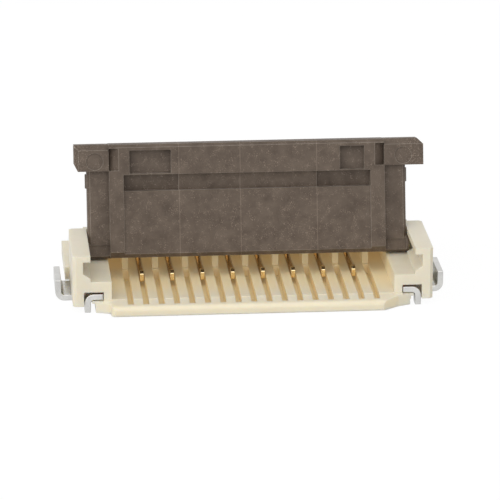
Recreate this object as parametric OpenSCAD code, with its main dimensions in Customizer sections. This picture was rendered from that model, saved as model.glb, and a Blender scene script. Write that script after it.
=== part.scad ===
// Side-entry surface-mount connector for a flat flexible cable, with a
// front-flip locking actuator, eight contacts and two board hold-downs.
// Millimetres: X along the row of contacts, +Y towards the solder tails,
// Z up from the board. The actuator is drawn open, leaning backwards.

/* [Contacts] */
// Number of contacts in the row
contact_count = 8; // [6:1:12]
// Distance between neighbouring contacts
pitch = 1.0; // [0.9:0.05:1.2]
// Thickness of the stamped contact sheet
contact_t = 0.13; // [0.12:0.01:0.16]
// Length of the solder tail behind the housing
tail_len = 0.9; // [0.6:0.1:1.4]

/* [Housing] */
// Height of the housing above the board
housing_h = 1.92; // [1.90:0.02:2.10]
// Depth from the wings' front face to the back wall
housing_d = 6.0; // [5.8:0.1:6.6]
// Height of the cable floor above the board
floor_z = 0.45; // [0.42:0.01:0.48]
// Width of the guide slots in the cable floor
slot_w = 0.20; // [0.18:0.01:0.24]
// How far the lower jaw reaches in front of the wings
jaw_len = 0.6; // [0.4:0.05:0.7]

/* [Actuator] */
// Length of the actuator from its pivot to its free edge
actuator_len = 3.47; // [3.42:0.01:3.60]
// Backward lean of the open actuator, in degrees
lean = 12; // [6:1:14]
// Thickness of the plate behind its pivot line
plate_back = 0.5; // [0.40:0.05:0.50]

/* [Hold-downs] */
// Sheet thickness of the hold-downs
nail_t = 0.20; // [0.16:0.01:0.20]
// Height of the outer solder flange
flange_h = 0.7; // [0.5:0.05:0.9]

/* [Hidden] */

$fn = 48;

// Cuts run past the faces they open by this much.
past = 0.5;
// Sideways gap between the actuator and the housing walls.
side_gap = 0.07;
// Gap between the actuator's side arms and the lips.
lip_gap = 0.03;
// Gap round the pivot bosses.
boss_gap = 0.035;
// Gap between a pressed-in sheet part and its slot, on each face.
sheet_gap = 0.02;

// Widths, all as half widths from the middle plane.
channel_hw = (contact_count - 1) * pitch / 2 + 1.1;
plate_hw = channel_hw - side_gap;
rib_w = 0.47;
field_hw = plate_hw - rib_w;
lip_hw = channel_hw + 0.68;
pillar_hw = lip_hw - lip_gap;
base_hw = channel_hw + 0.52;
block_hw = channel_hw + 0.4;
groove_hw = channel_hw + 0.92;
boss_hw = pillar_hw + 0.08;
wing_reach = 1.26;
wing_hw = channel_hw + wing_reach;
end_hw = wing_hw + 0.14;
ear_right = wing_hw - 0.03;
ear_left = wing_hw - 0.2;

// Heights and depths of the housing.
base_z = 0.03;
wing_z = nail_t + 0.02;
end_z = 0.66;
slot_z = 0.12;
ceiling_z = 1.0;
wing_d = 3.2;
block_y = 3.3;
well_y = block_y - 0.15;
stop_y = wing_d;
stop_w = 0.2;
pocket_y = 5.0;
web_y = pocket_y + 0.05;
bevel_y = 0.09;
nose_r = 0.17;
slot_y = -0.36;
lip_t = 0.2;
lip_z = housing_h - lip_t;

// The pivot and the parts that turn on it.
pivot_y = 2.5;
pivot_z = housing_h - 0.535;
boss_r = 0.3;
groove_z = pivot_z - boss_r - boss_gap;
shaft_r = 0.24;
hook_w = contact_t + 0.17;
plate_front = 0.565;
face_n = 0.5;
pillar_front = 0.27;
pillar_back = 0.42;
arm_foot = 0.08;
ear_s = pivot_y + 0.1;
ear_front = 0.45;
ear_back = 0.35;
ear_top = 0.18;
mark_r = 0.28;
mark_s = ear_s + 0.32;
band_s = 1.94;
bar_s = 2.47;
nub_s = 2.02;
nub_len = 0.46;
band_left = 1.81;
band_right = 1.76;
pocket_left = 1.36;
pocket_right = 0.8;
pocket_gap = 0.2;

// The contacts' upper arms clear the shaft and end just past its axis.
arm_z = pivot_z + shaft_r + 0.03;
arm_t = 0.135;
arm_y = pivot_y - 0.08;
tip_y = 2.2;

// Hold-down positions, measured outwards from the cable channel.
nail_x = channel_hw + 0.28;
nail_leg_x = channel_hw + 0.68;
nail_reach = 1.78;
nail_out_x = channel_hw + nail_reach;
nail_d = 3.0;
nail_z = 0.62;
foot_y = 1.4;
upright_y = 0.32;
tongue_d = 0.45;
bend_r = 0.1;

// The origin is the middle of the base of everything.
y_mid = (housing_d + tail_len - jaw_len) / 2;

// A box given by its low and high corners.
module span(low, high) {
    translate(low)
        cube(high - low);
}

// A prism along X from x0 to x1 with a side profile of [Y, Z] points.
module side_prism(x0, x1, profile) {
    translate([x0, 0, 0])
        rotate([90, 0, 90])
            linear_extrude(height = x1 - x0)
                polygon(profile);
}

// A prism along Y from y0 to y1 with a front profile of [X, Z] points.
module front_prism(y0, y1, profile) {
    translate([0, y1, 0])
        rotate([90, 0, 0])
            linear_extrude(height = y1 - y0)
                polygon(profile);
}

// A round bar along X.
module bar(x0, x1, y, z, r) {
    translate([x0, y, z])
        rotate([0, 90, 0])
            cylinder(h = x1 - x0, r = r);
}

// The same shape on the right and, mirrored, on the left.
module both_sides() {
    children();
    mirror([1, 0, 0])
        children();
}

function contact_x(i) = (i - (contact_count + 1) / 2) * pitch;

// ---- Housing ----

// Lower jaw with a rounded nose; in plan it has a step at its left end and a long
// chamfer at its right.
module jaw() {
    nose_top = base_z + nose_r;
    nose_y = nose_r - jaw_len;
    nose = [for (a = [0 : 15 : 75])
            [nose_y - nose_r * cos(a), nose_top + nose_r * sin(a)]];
    foot = 0.04;
    corner = 0.08;
    intersection() {
        side_prism(-base_hw, base_hw,
                   concat([[past, base_z], [foot - jaw_len, base_z], [-jaw_len, base_z + foot]],
                          nose, [[bevel_y, floor_z], [past, floor_z]]));
        translate([0, 0, base_z])
            linear_extrude(height = floor_z)
                polygon([[-base_hw, past], [-base_hw, -0.05], [-channel_hw - 0.06, -0.22],
                         [-channel_hw - 0.02, corner - jaw_len], [corner - channel_hw, -jaw_len],
                         [channel_hw - 0.41, -jaw_len], [channel_hw + 0.09, -0.2], [base_hw, 0],
                         [base_hw, past]]);
    }
}

// The wing: outer wall and top lip, with its front outer corner taken off.
module wing() {
    corner = 0.1;
    inner = base_hw - 0.02;
    translate([0, 0, wing_z])
        linear_extrude(height = housing_h - wing_z)
            polygon([[inner, 0], [wing_hw - corner, 0], [wing_hw, corner], [wing_hw, wing_d - corner],
                     [wing_hw - corner, wing_d], [inner, wing_d]]);
}

module housing_solid() {
    roof_edge = 0.1;
    jaw();
    span([-base_hw, 0, base_z], [base_hw, housing_d, end_z]);
    side_prism(-block_hw, block_hw,
               [[block_y, base_z], [housing_d, base_z], [housing_d, housing_h - roof_edge],
                [housing_d - roof_edge, housing_h], [block_y + roof_edge, housing_h],
                [block_y, housing_h - roof_edge]]);
    both_sides() {
        wing();
        // Cheek beside the cable, low shelf behind the wing, and the web that ties wing to block.
        span([channel_hw, 0, base_z], [base_hw, block_y, groove_z]);
        span([block_hw, wing_d - 0.2, wing_z], [end_hw, housing_d, end_z]);
        span([channel_hw, well_y, base_z], [lip_hw + 0.1, block_y + 0.05, housing_h]);
    }
}

// Room for the cable between the cheeks, with pockets under the roof for the contacts.
// The ribs left between the pockets stop the cable's end.
module cable_way() {
    span([-channel_hw, -past, floor_z], [channel_hw, block_y, housing_h + past]);
    difference() {
        span([-channel_hw, 0, floor_z], [channel_hw, pocket_y, ceiling_z]);
        for (i = [0 : contact_count])
            translate([(i - contact_count / 2) * pitch, 0, 0])
                span([-stop_w / 2, stop_y, 0], [stop_w / 2, pocket_y + past, ceiling_z + past]);
    }
}

// The open well over the cheek and the groove that runs back under the lip.
module hinge_way() {
    span([channel_hw - past, -past, groove_z], [lip_hw, well_y, housing_h + past]);
    front_prism(-past, pivot_y,
                [[channel_hw, groove_z], [lip_hw - 0.15, groove_z], [groove_hw, groove_z + 0.27],
                 [groove_hw, lip_z], [channel_hw, lip_z]]);
    bar(channel_hw, groove_hw, pivot_y, pivot_z, boss_r + boss_gap);
}

// Guide slots at half the contact pitch; every second one holds a contact.
module floor_slots() {
    for (i = [0 : 2 * contact_count]) {
        x = (i - contact_count) * pitch / 2;
        span([x - slot_w / 2, slot_y, slot_z], [x + slot_w / 2, stop_y, floor_z + past]);
    }
    for (i = [1 : contact_count])
        span([contact_x(i) - slot_w / 2, bevel_y, slot_z],
             [contact_x(i) + slot_w / 2, housing_d + past, arm_z + arm_t + 0.01]);
}

// Room for the hold-down: its upright plate, its front tongue and its leg.
module nail_way() {
    x0 = nail_x - sheet_gap;
    leg_x1 = nail_leg_x + nail_t + sheet_gap;
    tongue_y = tongue_d + 0.05;
    span([x0, upright_y - sheet_gap, -past], [nail_x + nail_t + sheet_gap, nail_d + 0.05, nail_z + 0.03]);
    span([x0, -past, nail_z - nail_t - sheet_gap], [leg_x1, tongue_y, nail_z + 0.08]);
    span([base_hw + 0.03, -past, -past], [leg_x1, tongue_y, nail_z - nail_t - 0.1]);
    span([nail_leg_x - 0.05, -past, -past], [leg_x1, tongue_y, nail_z]);
}

module housing() {
    color([0.87, 0.83, 0.72])
        translate([0, -y_mid, 0])
            difference() {
                housing_solid();
                cable_way();
                floor_slots();
                both_sides() {
                    hinge_way();
                    nail_way();
                }
            }
}

// ---- Actuator, in its own frame: X, then Y through its thickness, then Z to its free edge ----

module plate() {
    toe = 0.26;
    bevel = 0.2;
    edge = 0.1;
    side_prism(-plate_hw, plate_hw,
               [[-plate_front, bevel - toe], [bevel - plate_front, -toe], [plate_back - edge, -toe],
                [plate_back, edge - toe], [plate_back, actuator_len - edge],
                [plate_back - edge, actuator_len], [edge - plate_front, actuator_len],
                [-plate_front, actuator_len - edge]]);
}

// The arm beside the plate with its pivot boss and latch nub; its ear reaches out to ear_out.
module side_arm(ear_out) {
    edge = 0.09;
    inner = plate_hw - 0.05;
    translate([0, 0, -arm_foot])
        linear_extrude(height = ear_s + arm_foot + 0.1)
            polygon([[inner, -pillar_front], [pillar_hw - edge, -pillar_front],
                     [pillar_hw, edge - pillar_front], [pillar_hw, pillar_back], [inner, pillar_back]]);
    bar(inner, boss_hw, 0, 0, boss_r);
    side_prism(inner, ear_out,
               [[-ear_front, ear_s], [ear_back, ear_s], [ear_back, actuator_len - edge],
                [ear_back - edge, actuator_len], [ear_top - ear_front, actuator_len],
                [-ear_front, actuator_len - ear_top]]);
    translate([0, 0, nub_s])
        linear_extrude(height = nub_len)
            polygon([[inner, -0.1], [pillar_hw, -0.1], [lip_hw + 0.03, 0.02],
                     [lip_hw + 0.03, 0.12], [pillar_hw, 0.28], [inner, 0.28]]);
}

// A stretch of the sunk band below the top bar, leaning in towards its ledge.
module band(x0, x1, foot_n) {
    front = -plate_front - past;
    side_prism(x0, x1, [[front, band_s], [foot_n, band_s], [foot_n - 0.1, bar_s], [front, bar_s]]);
}

// Sunk fields of the plate's front face: main field, undercut band and two pockets in the top bar.
module face_fields() {
    front = -plate_front - past;
    pocket_n = 0.25 - plate_front;
    span([-field_hw, front, -past], [field_hw, -face_n, band_s]);
    band(-field_hw, field_hw, 0.2 - face_n);
    pocket_s = [bar_s + 0.04, actuator_len - pocket_gap];
    pocket_x = field_hw - pocket_gap;
    band(-field_hw, band_left - field_hw, 0.32 - face_n);
    band(field_hw - band_right, field_hw, 0.32 - face_n);
    span([-pocket_x, front, pocket_s[0]], [pocket_left - pocket_x, pocket_n, pocket_s[1]]);
    span([pocket_x - pocket_right, front, pocket_s[0]], [pocket_x, pocket_n, pocket_s[1]]);
}

// Ramped pocket between ear and rib, step across the arm's foot and ejector mark on the ear.
module side_cuts(mark_x) {
    front = -plate_front - past;
    ramp_s = [ear_s + 0.02, actuator_len - 0.13];
    step_s = 0.16;
    translate([0, 0, ramp_s[0]])
        linear_extrude(height = ramp_s[1] - ramp_s[0])
            polygon([[plate_hw, front], [plate_hw, 0.3 - plate_front], [plate_hw - 0.32, -plate_front],
                     [plate_hw - 0.32, front]]);
    span([plate_hw, front, -past], [pillar_hw + 0.01, 0.05 - pillar_front, step_s]);
    translate([mark_x, 0.04 - ear_front, mark_s])
        rotate([90, 0, 0])
            cylinder(h = past, r = mark_r);
}

// A slot through the back of the plate for one contact's upper arm.
module hook_slot() {
    difference() {
        span([-hook_w / 2, -0.22, -past], [hook_w / 2, plate_back + past, 0.6]);
        bar(-hook_w, hook_w, 0, 0, shaft_r);
    }
}

// The right ear has its outer top corner taken off.
module right_ear_corner() {
    c = 0.2;
    front_prism(-1, 1, [[ear_right - c, actuator_len + 0.01], [ear_right + 0.01, actuator_len + 0.01],
                        [ear_right + 0.01, actuator_len - c]]);
}

// The shorter left ear has a bevelled front edge and lower corner.
module left_ear_corner() {
    c = 0.15;
    translate([0, 0, ear_s - 0.01])
        linear_extrude(height = actuator_len)
            polygon([[-ear_left - 0.01, -ear_front - 0.01], [c - ear_left, -ear_front - 0.01],
                     [-ear_left - 0.01, c - ear_front]]);
    front_prism(-1, 1, [[-ear_left - 0.01, ear_s - 0.01], [0.12 - ear_left, ear_s - 0.01],
                        [-ear_left - 0.01, ear_s + 0.25]]);
}

module actuator() {
    color([0.36, 0.30, 0.26])
        translate([0, pivot_y - y_mid, pivot_z])
            rotate([-lean, 0, 0])
                difference() {
                    union() {
                        plate();
                        side_arm(ear_right);
                        mirror([1, 0, 0])
                            side_arm(ear_left);
                    }
                    face_fields();
                    side_cuts(pillar_hw - 0.09);
                    mirror([1, 0, 0])
                        side_cuts(pillar_hw - 0.26);
                    right_ear_corner();
                    left_ear_corner();
                    for (i = [1 : contact_count])
                        translate([contact_x(i), 0, 0])
                            hook_slot();
                }
}

// ---- Contacts ----

// One stamped contact: spring arm under the cable, web, hook arm over the shaft, solder tail.
module contact(i) {
    back_y = housing_d - 0.02;
    tail_y = housing_d + tail_len;
    tail_t = 0.15;
    arm_top = arm_z + arm_t;
    color([0.83, 0.66, 0.32])
        translate([0, -y_mid, 0])
            side_prism(contact_x(i) - contact_t / 2, contact_x(i) + contact_t / 2,
                       [[web_y, slot_z], [back_y, slot_z], [back_y + 0.12, 0], [tail_y, 0],
                        [tail_y, tail_t], [back_y + 0.2, tail_t], [back_y, tail_t + 0.2],
                        [back_y, arm_top - 0.1], [back_y - 0.1, arm_top], [arm_y + 0.1, arm_top],
                        [arm_y, arm_top - 0.06], [arm_y, arm_z], [web_y, arm_z - 0.1], [web_y, 0.34],
                        [tip_y + 0.5, 0.5], [tip_y + 0.3, 0.66], [tip_y + 0.12, 0.68], [tip_y, 0.6],
                        [tip_y, 0.36], [tip_y + 0.1, 0.31], [tip_y + 0.6, 0.33],
                        [web_y - 0.6, slot_z + 0.04]]);
}

// ---- Hold-downs ----

// A quarter bend of sheet along Y round the axis at x, z, from the start angle on.
module bend(x, z, y0, y1, start) {
    translate([x, y1, z])
        rotate([90, 0, 0])
            rotate([0, 0, start])
                rotate_extrude(angle = 90)
                    translate([bend_r, 0, 0])
                        square([nail_t, y1 - y0]);
}

module nail() {
    r_out = bend_r + nail_t;
    tongue_y = 0.04;
    leg_x = nail_leg_x + nail_t;
    // Upright plate in the housing.
    span([nail_x, upright_y, 0], [nail_x + nail_t, nail_d, nail_z]);
    // Front tongue, its bend and the leg down to the board.
    span([nail_x, tongue_y, nail_z - nail_t], [leg_x - r_out, tongue_d, nail_z]);
    bend(leg_x - r_out, nail_z - r_out, tongue_y, tongue_d, 0);
    span([leg_x - nail_t, tongue_y, 0], [leg_x, tongue_d, nail_z - r_out]);
    // Foot under the wing, curled up into the outer flange.
    span([nail_x, foot_y, 0], [nail_out_x - r_out, nail_d, nail_t]);
    bend(nail_out_x - r_out, r_out, foot_y, nail_d, 270);
    span([nail_out_x - nail_t, foot_y, r_out], [nail_out_x, nail_d, flange_h]);
}

module nail_right() {
    color([0.78, 0.78, 0.76])
        translate([0, -y_mid, 0])
            nail();
}

module nail_left() {
    mirror([1, 0, 0])
        nail_right();
}

housing();
actuator();
nail_left();
nail_right();
for (i = [1 : contact_count])
    contact(i);
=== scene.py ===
import math

import bpy
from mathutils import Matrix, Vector

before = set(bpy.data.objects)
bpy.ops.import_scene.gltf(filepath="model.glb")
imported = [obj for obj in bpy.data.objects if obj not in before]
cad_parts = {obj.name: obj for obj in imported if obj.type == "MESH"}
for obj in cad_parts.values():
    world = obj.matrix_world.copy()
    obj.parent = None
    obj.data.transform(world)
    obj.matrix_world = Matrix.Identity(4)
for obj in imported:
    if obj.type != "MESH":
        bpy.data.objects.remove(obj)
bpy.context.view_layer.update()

scene = bpy.context.scene
scene.view_settings.view_transform = "Standard"

# ---- Housing ----
# One injection moulding in natural cream, glass-filled engineering plastic.
# It is slightly translucent; in its slots and the cable way a painted warm shade and a painted glow stand
# in for the light it passes.
# Every edge keeps the small radius that the mould's steel leaves.


def soften_moulded_edges(node, radius, worn_and_lit_edge_slot=-1):
    weld = node.modifiers.new("join_faces", "WELD")
    weld.merge_threshold = 2e-7
    flat = node.modifiers.new("merge_flats", "DECIMATE")
    flat.decimate_type = "DISSOLVE"
    flat.angle_limit = math.radians(0.6)
    edge = node.modifiers.new("edge_radius", "BEVEL")
    edge.width = radius
    edge.segments = 2
    edge.limit_method = "ANGLE"
    edge.angle_limit = math.radians(32)
    edge.use_clamp_overlap = True
    edge.harden_normals = True
    # Bevel faces may take a paler finish: rubbing wear and a painted edge highlight.
    if worn_and_lit_edge_slot >= 0:
        edge.material = worn_and_lit_edge_slot


def moulding_grain():
    """Fine pitting and soft clouds that a spark-eroded mould leaves on plastic."""
    group = bpy.data.node_groups.new("moulding_grain", "ShaderNodeTree")
    face = group.interface
    face.new_socket("Cloud Scale", in_out="INPUT", socket_type="NodeSocketFloat")
    face.new_socket("Pit Scale", in_out="INPUT", socket_type="NodeSocketFloat")
    face.new_socket("Clouds", in_out="OUTPUT", socket_type="NodeSocketFloat")
    face.new_socket("Pits", in_out="OUTPUT", socket_type="NodeSocketFloat")
    n, l = group.nodes, group.links
    given, out = n.new("NodeGroupInput"), n.new("NodeGroupOutput")
    where = n.new("ShaderNodeTexCoord")
    clouds = n.new("ShaderNodeTexNoise")
    clouds.inputs["Detail"].default_value = 6
    clouds.inputs["Roughness"].default_value = 0.62
    pits = n.new("ShaderNodeTexNoise")
    pits.inputs["Detail"].default_value = 3
    pits.inputs["Roughness"].default_value = 0.7
    l.new(where.outputs["Object"], clouds.inputs["Vector"])
    l.new(where.outputs["Object"], pits.inputs["Vector"])
    l.new(given.outputs["Cloud Scale"], clouds.inputs["Scale"])
    l.new(given.outputs["Pit Scale"], pits.inputs["Scale"])
    l.new(clouds.outputs["Fac"], out.inputs["Clouds"])
    l.new(pits.outputs["Fac"], out.inputs["Pits"])
    return group


grain = moulding_grain()


def new_finish(name):
    finish = bpy.data.materials.new(name)
    finish.use_nodes = True
    nodes = finish.node_tree.nodes
    shader = nodes["Principled BSDF"]
    return finish, nodes, finish.node_tree.links, shader


def place_grain(nodes, cloud_scale, pit_scale):
    use = nodes.new("ShaderNodeGroup")
    use.node_tree = grain
    use.inputs["Cloud Scale"].default_value = cloud_scale
    use.inputs["Pit Scale"].default_value = pit_scale
    return use


def ramp(nodes, *stops):
    r = nodes.new("ShaderNodeValToRGB")
    points = r.color_ramp.elements
    while len(points) < len(stops):
        points.new(0.5)
    for point, (place, colour) in zip(points, stops):
        point.position = place
        point.color = (*colour, 1)
    return r


def join(nodes, links, operation, first, second):
    step = nodes.new("ShaderNodeMath")
    step.operation = operation
    for given, place in ((first, step.inputs[0]), (second, step.inputs[1])):
        if isinstance(given, (int, float)):
            place.default_value = given
        else:
            links.new(given, place)
    return step.outputs["Value"]


def rise(nodes, links, value, low, high):
    """Smooth mask that is 0 at low and 1 at high, in metres along one axis."""
    span = nodes.new("ShaderNodeMapRange")
    span.interpolation_type = "SMOOTHSTEP"
    span.inputs["From Min"].default_value = low
    span.inputs["From Max"].default_value = high
    links.new(value, span.inputs["Value"])
    return span.outputs["Result"]


def blend_colours(nodes, links, mask, first, second):
    mix = nodes.new("ShaderNodeMix")
    mix.data_type = "RGBA"
    links.new(mask, mix.inputs["Factor"])
    for given, place in ((first, mix.inputs["A"]), (second, mix.inputs["B"])):
        if isinstance(given, tuple):
            place.default_value = (*given, 1)
        else:
            links.new(given, place)
    return mix.outputs["Result"]


def place_of(nodes, links):
    where = nodes.new("ShaderNodeTexCoord")
    split = nodes.new("ShaderNodeSeparateXYZ")
    links.new(where.outputs["Object"], split.inputs["Vector"])
    return split.outputs["X"], split.outputs["Y"], split.outputs["Z"]


def roughen(nodes, links, shader, height, strength, distance):
    bump = nodes.new("ShaderNodeBump")
    bump.inputs["Strength"].default_value = strength
    bump.inputs["Distance"].default_value = distance
    links.new(height, bump.inputs["Height"])
    links.new(bump.outputs["Normal"], shader.inputs["Normal"])


def cream_plastic():
    finish, n, l, shader = new_finish("cream_plastic")
    use = place_grain(n, 1400, 26000)
    tone = ramp(n, (0.30, (0.80, 0.735, 0.585)), (0.70, (0.84, 0.78, 0.63)))
    l.new(use.outputs["Clouds"], tone.inputs["Fac"])
    # Painted shade and glow: the cable way and its slots get a deeper, warmer base colour and a faint
    # emission, in place of light bounced round and passed through the plastic.
    x, y, z = place_of(n, l)
    within = rise(n, l, join(n, l, "ABSOLUTE", x, 0), 0.00478, 0.00455)
    deep = rise(n, l, y, -0.0037, -0.0014)
    low = rise(n, l, z, 0.00125, 0.00085)
    slot = join(n, l, "MULTIPLY", rise(n, l, z, 0.00044, 0.00030), rise(n, l, y, -0.0045, -0.0024))
    way = join(n, l, "MULTIPLY", join(n, l, "MAXIMUM", join(n, l, "MULTIPLY", deep, low), slot), within)
    front = join(n, l, "MULTIPLY", rise(n, l, y, 0.0020, 0.0017), rise(n, l, z, 0.00007, 0.00011))
    painted_cavity_glow = join(n, l, "MULTIPLY", way, front)
    painted_warm_shade = blend_colours(n, l, painted_cavity_glow, tone.outputs["Color"], (0.82, 0.69, 0.44))
    l.new(painted_warm_shade, shader.inputs["Base Color"])
    # Painted glow: the same mask gives the cavity a faint warm emission.
    light = blend_colours(n, l, painted_cavity_glow, (0.0, 0.0, 0.0), (1.0, 0.77, 0.42))
    l.new(light, shader.inputs["Emission Color"])
    shader.inputs["Emission Strength"].default_value = 0.075
    roughen(n, l, shader, use.outputs["Pits"], 0.12, 8e-6)
    shader.inputs["Roughness"].default_value = 0.45
    shader.inputs["Subsurface Weight"].default_value = 0.5
    shader.inputs["Subsurface Scale"].default_value = 0.0003
    shader.inputs["Subsurface Radius"].default_value = (1.0, 0.8, 0.5)
    return finish


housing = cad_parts["housing"]
housing.data.materials.clear()
housing.data.materials.append(cream_plastic())
soften_moulded_edges(housing, 2.6e-5)

# ---- Contacts ----
# Eight strips stamped from spring copper alloy and pressed in from the back.
# Only the contact point is gold and the solder tail bright tin; the arm behind the point is coloured dark
# brown, painted shade of its slot under the dark actuator.


def plated_contact():
    finish, n, l, shader = new_finish("plated_contact")
    use = place_grain(n, 2500, 30000)
    y = place_of(n, l)[1]
    gold = ramp(n, (0.25, (0.92, 0.72, 0.38)), (0.75, (1.0, 0.84, 0.52)))
    l.new(use.outputs["Clouds"], gold.inputs["Fac"])
    # Painted shade: the arm behind the gold point is coloured dark brown.
    shaded_arm_mask = rise(n, l, y, -0.00070, -0.00060)
    gold_and_shaded_arm = blend_colours(n, l, shaded_arm_mask, gold.outputs["Color"], (0.52, 0.33, 0.12))
    plate = blend_colours(n, l, rise(n, l, y, 0.0024, 0.0028), gold_and_shaded_arm, (0.74, 0.73, 0.70))
    l.new(plate, shader.inputs["Base Color"])
    shader.inputs["Metallic"].default_value = 1.0
    shader.inputs["Roughness"].default_value = 0.24
    roughen(n, l, shader, use.outputs["Pits"], 0.08, 4e-6)
    return finish


contact_plating = plated_contact()
for name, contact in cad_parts.items():
    if name.startswith("contact_"):
        contact.data.materials.clear()
        contact.data.materials.append(contact_plating)
        soften_moulded_edges(contact, 1.6e-5)

# ---- Hold-downs ----
# Two blanks of tinned sheet, bent and pressed into the housing from below.
# Their feet and front legs are soldered to the board.


def tinned_sheet():
    finish, n, l, shader = new_finish("tinned_sheet")
    use = place_grain(n, 2200, 22000)
    tone = ramp(n, (0.3, (0.52, 0.515, 0.50)), (0.7, (0.66, 0.655, 0.63)))
    l.new(use.outputs["Clouds"], tone.inputs["Fac"])
    l.new(tone.outputs["Color"], shader.inputs["Base Color"])
    sheen = ramp(n, (0.3, (0.26, 0.26, 0.26)), (0.7, (0.40, 0.40, 0.40)))
    l.new(use.outputs["Pits"], sheen.inputs["Fac"])
    l.new(sheen.outputs["Color"], shader.inputs["Roughness"])
    shader.inputs["Metallic"].default_value = 1.0
    roughen(n, l, shader, use.outputs["Pits"], 0.15, 6e-6)
    return finish


tin = tinned_sheet()
for name in ("nail_left", "nail_right"):
    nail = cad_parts[name]
    nail.data.materials.clear()
    nail.data.materials.append(tin)
    soften_moulded_edges(nail, 2.4e-5)

# ---- Actuator ----
# The flip lock, moulded in dark brown, mineral-filled plastic with a dull, scuffed face.
# Its edges are paler, partly rubbed and partly a painted highlight where they catch the light, and faint
# lines show where the mould's inserts met.


def brown_plastic(name, dark, pale, roughness):
    finish, n, l, shader = new_finish(name)
    use = place_grain(n, 1900, 17000)
    tone = ramp(n, (0.32, dark), (0.52, [(a + b) / 2 for a, b in zip(dark, pale)]), (0.74, pale))
    l.new(use.outputs["Clouds"], tone.inputs["Fac"])
    x = place_of(n, l)[0]
    # Chalky specks lie thickest in patches and on the ears, where fingers rub them up.
    speck = place_grain(n, 5200, 30000)
    fine = rise(n, l, speck.outputs["Pits"], 0.53, 0.66)
    patch = rise(n, l, speck.outputs["Clouds"], 0.46, 0.60)
    ears = rise(n, l, join(n, l, "ABSOLUTE", x, 0), 0.0049, 0.0056)
    chalk = join(n, l, "MULTIPLY", fine, join(n, l, "MAXIMUM", join(n, l, "MULTIPLY", patch, 0.62),
                                              join(n, l, "MULTIPLY", ears, 0.95)))
    dusty = blend_colours(n, l, chalk, tone.outputs["Color"], tuple(c * 2.3 + 0.03 for c in pale))
    # Hairlines where the mould's inserts met.
    seam = None
    for line_x in (-0.00224, -0.00023, 0.00229):
        line = n.new("ShaderNodeMath")
        line.operation = "COMPARE"
        l.new(x, line.inputs[0])
        line.inputs[1].default_value = line_x
        line.inputs[2].default_value = 1.3e-5
        seam = line.outputs["Value"] if seam is None else join(n, l, "MAXIMUM", seam, line.outputs["Value"])
    faint = join(n, l, "MULTIPLY", seam, join(n, l, "MULTIPLY", use.outputs["Clouds"], 0.8))
    lined = blend_colours(n, l, faint, dusty, tuple(c * 1.6 + 0.02 for c in pale))
    l.new(lined, shader.inputs["Base Color"])
    roughen(n, l, shader, use.outputs["Pits"], 0.35, 1.2e-5)
    shader.inputs["Roughness"].default_value = roughness
    shader.inputs["Specular IOR Level"].default_value = 0.35
    return finish


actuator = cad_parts["actuator"]
actuator.data.materials.clear()
# The second, paler finish goes on the bevelled edges: part rubbing wear, part painted highlight where the
# edges catch the light.
for finish_name, dark, pale, roughness in (
        ("brown_plastic", (0.076, 0.054, 0.039), (0.138, 0.104, 0.078), 0.6),
        ("rubbed_and_lit_edge_brown", (0.15, 0.12, 0.095), (0.26, 0.22, 0.18), 0.55)):
    actuator.data.materials.append(brown_plastic(finish_name, dark, pale, roughness))
soften_moulded_edges(actuator, 2.2e-5, worn_and_lit_edge_slot=1)

# ---- Floor and light ----
# A plain white table under an even, soft light, a little stronger from the front.
# The camera sees white behind the part, and the table keeps its soft shadow.


def shown_as_backdrop(nodes, links):
    """1 for the rays that see the backdrop: straight, by reflection or through glass."""
    ray = nodes.new("ShaderNodeLightPath")
    mirrored = join(nodes, links, "MAXIMUM", ray.outputs["Is Camera Ray"], ray.outputs["Is Glossy Ray"])
    return join(nodes, links, "MAXIMUM", mirrored, ray.outputs["Is Transmission Ray"])


def white_table():
    finish, n, l, shader = new_finish("white_table")
    shader.inputs["Base Color"].default_value = (0.6, 0.6, 0.6, 1)
    shader.inputs["Roughness"].default_value = 0.9
    paper = n.new("ShaderNodeEmission")
    paper.inputs["Color"].default_value = (1, 1, 1, 1)
    paper.inputs["Strength"].default_value = 1.06
    seen = shown_as_backdrop(n, l)
    amount = n.new("ShaderNodeMath")
    amount.operation = "MULTIPLY"
    amount.inputs[1].default_value = 0.9
    l.new(seen, amount.inputs[0])
    blend = n.new("ShaderNodeMixShader")
    l.new(amount.outputs["Value"], blend.inputs["Fac"])
    l.new(shader.outputs["BSDF"], blend.inputs[1])
    l.new(paper.outputs["Emission"], blend.inputs[2])
    l.new(blend.outputs["Shader"], n["Material Output"].inputs["Surface"])
    return finish


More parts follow.
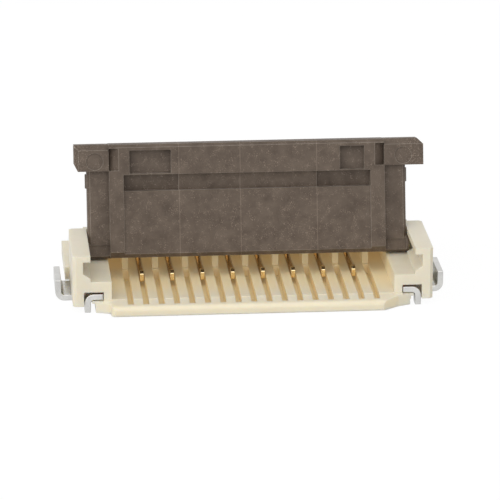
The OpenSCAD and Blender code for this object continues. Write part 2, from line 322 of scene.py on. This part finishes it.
bpy.ops.mesh.primitive_plane_add(size=1.2, location=(0, 0, -2e-6))
table = bpy.context.object
table.name = "table"
table.data.materials.append(white_table())

sky = bpy.data.worlds.new("studio")
scene.world = sky
sky.use_nodes = True
n, l = sky.node_tree.nodes, sky.node_tree.links
fill = n["Background"]
fill.inputs["Color"].default_value = (1, 1, 1, 1)
fill.inputs["Strength"].default_value = 0.5
behind = n.new("ShaderNodeBackground")
behind.inputs["Color"].default_value = (1, 1, 1, 1)
behind.inputs["Strength"].default_value = 1.0
blend = n.new("ShaderNodeMixShader")
l.new(shown_as_backdrop(n, l), blend.inputs["Fac"])
l.new(fill.outputs["Background"], blend.inputs[1])
l.new(behind.outputs["Background"], blend.inputs[2])
l.new(blend.outputs["Shader"], n["World Output"].inputs["Surface"])


def soft_lamp(name, azimuth, elevation, distance, size, watts):
    data = bpy.data.lights.new(name, "AREA")
    data.shape = "SQUARE"
    data.size = size
    data.energy = watts
    lamp = bpy.data.objects.new(name, data)
    scene.collection.objects.link(lamp)
    a, e = math.radians(azimuth), math.radians(elevation)
    away = Vector((math.sin(a) * math.cos(e), -math.cos(a) * math.cos(e), math.sin(e)))
    lamp.location = away * distance
    lamp.rotation_mode = "QUATERNION"
    lamp.rotation_quaternion = away.to_track_quat("Z", "Y")


soft_lamp("front_box", -6, 8, 0.30, 0.32, 0.34)
soft_lamp("left_box", -62, 24, 0.30, 0.25, 0.25)
soft_lamp("top_box", -10, 60, 0.30, 0.25, 0.25)

# ---- Camera ----
# A long lens a little left of the front and above it, level.

tilt, turn = math.radians(17.0), math.radians(-4.75)
back = Vector((math.sin(turn) * math.cos(tilt), -math.cos(turn) * math.cos(tilt), math.sin(tilt)))
distance = 0.1308
aim = Vector((-0.000070, -0.002596, 0.001842))
lens = bpy.data.cameras.new("camera")
lens.sensor_width = 36
lens.lens = 290
lens.clip_start = 0.01
lens.clip_end = 5
camera = bpy.data.objects.new("camera", lens)
scene.collection.objects.link(camera)
camera.location = aim + back * distance
camera.rotation_mode = "QUATERNION"
camera.rotation_quaternion = back.to_track_quat("Z", "Y")
scene.camera = camera
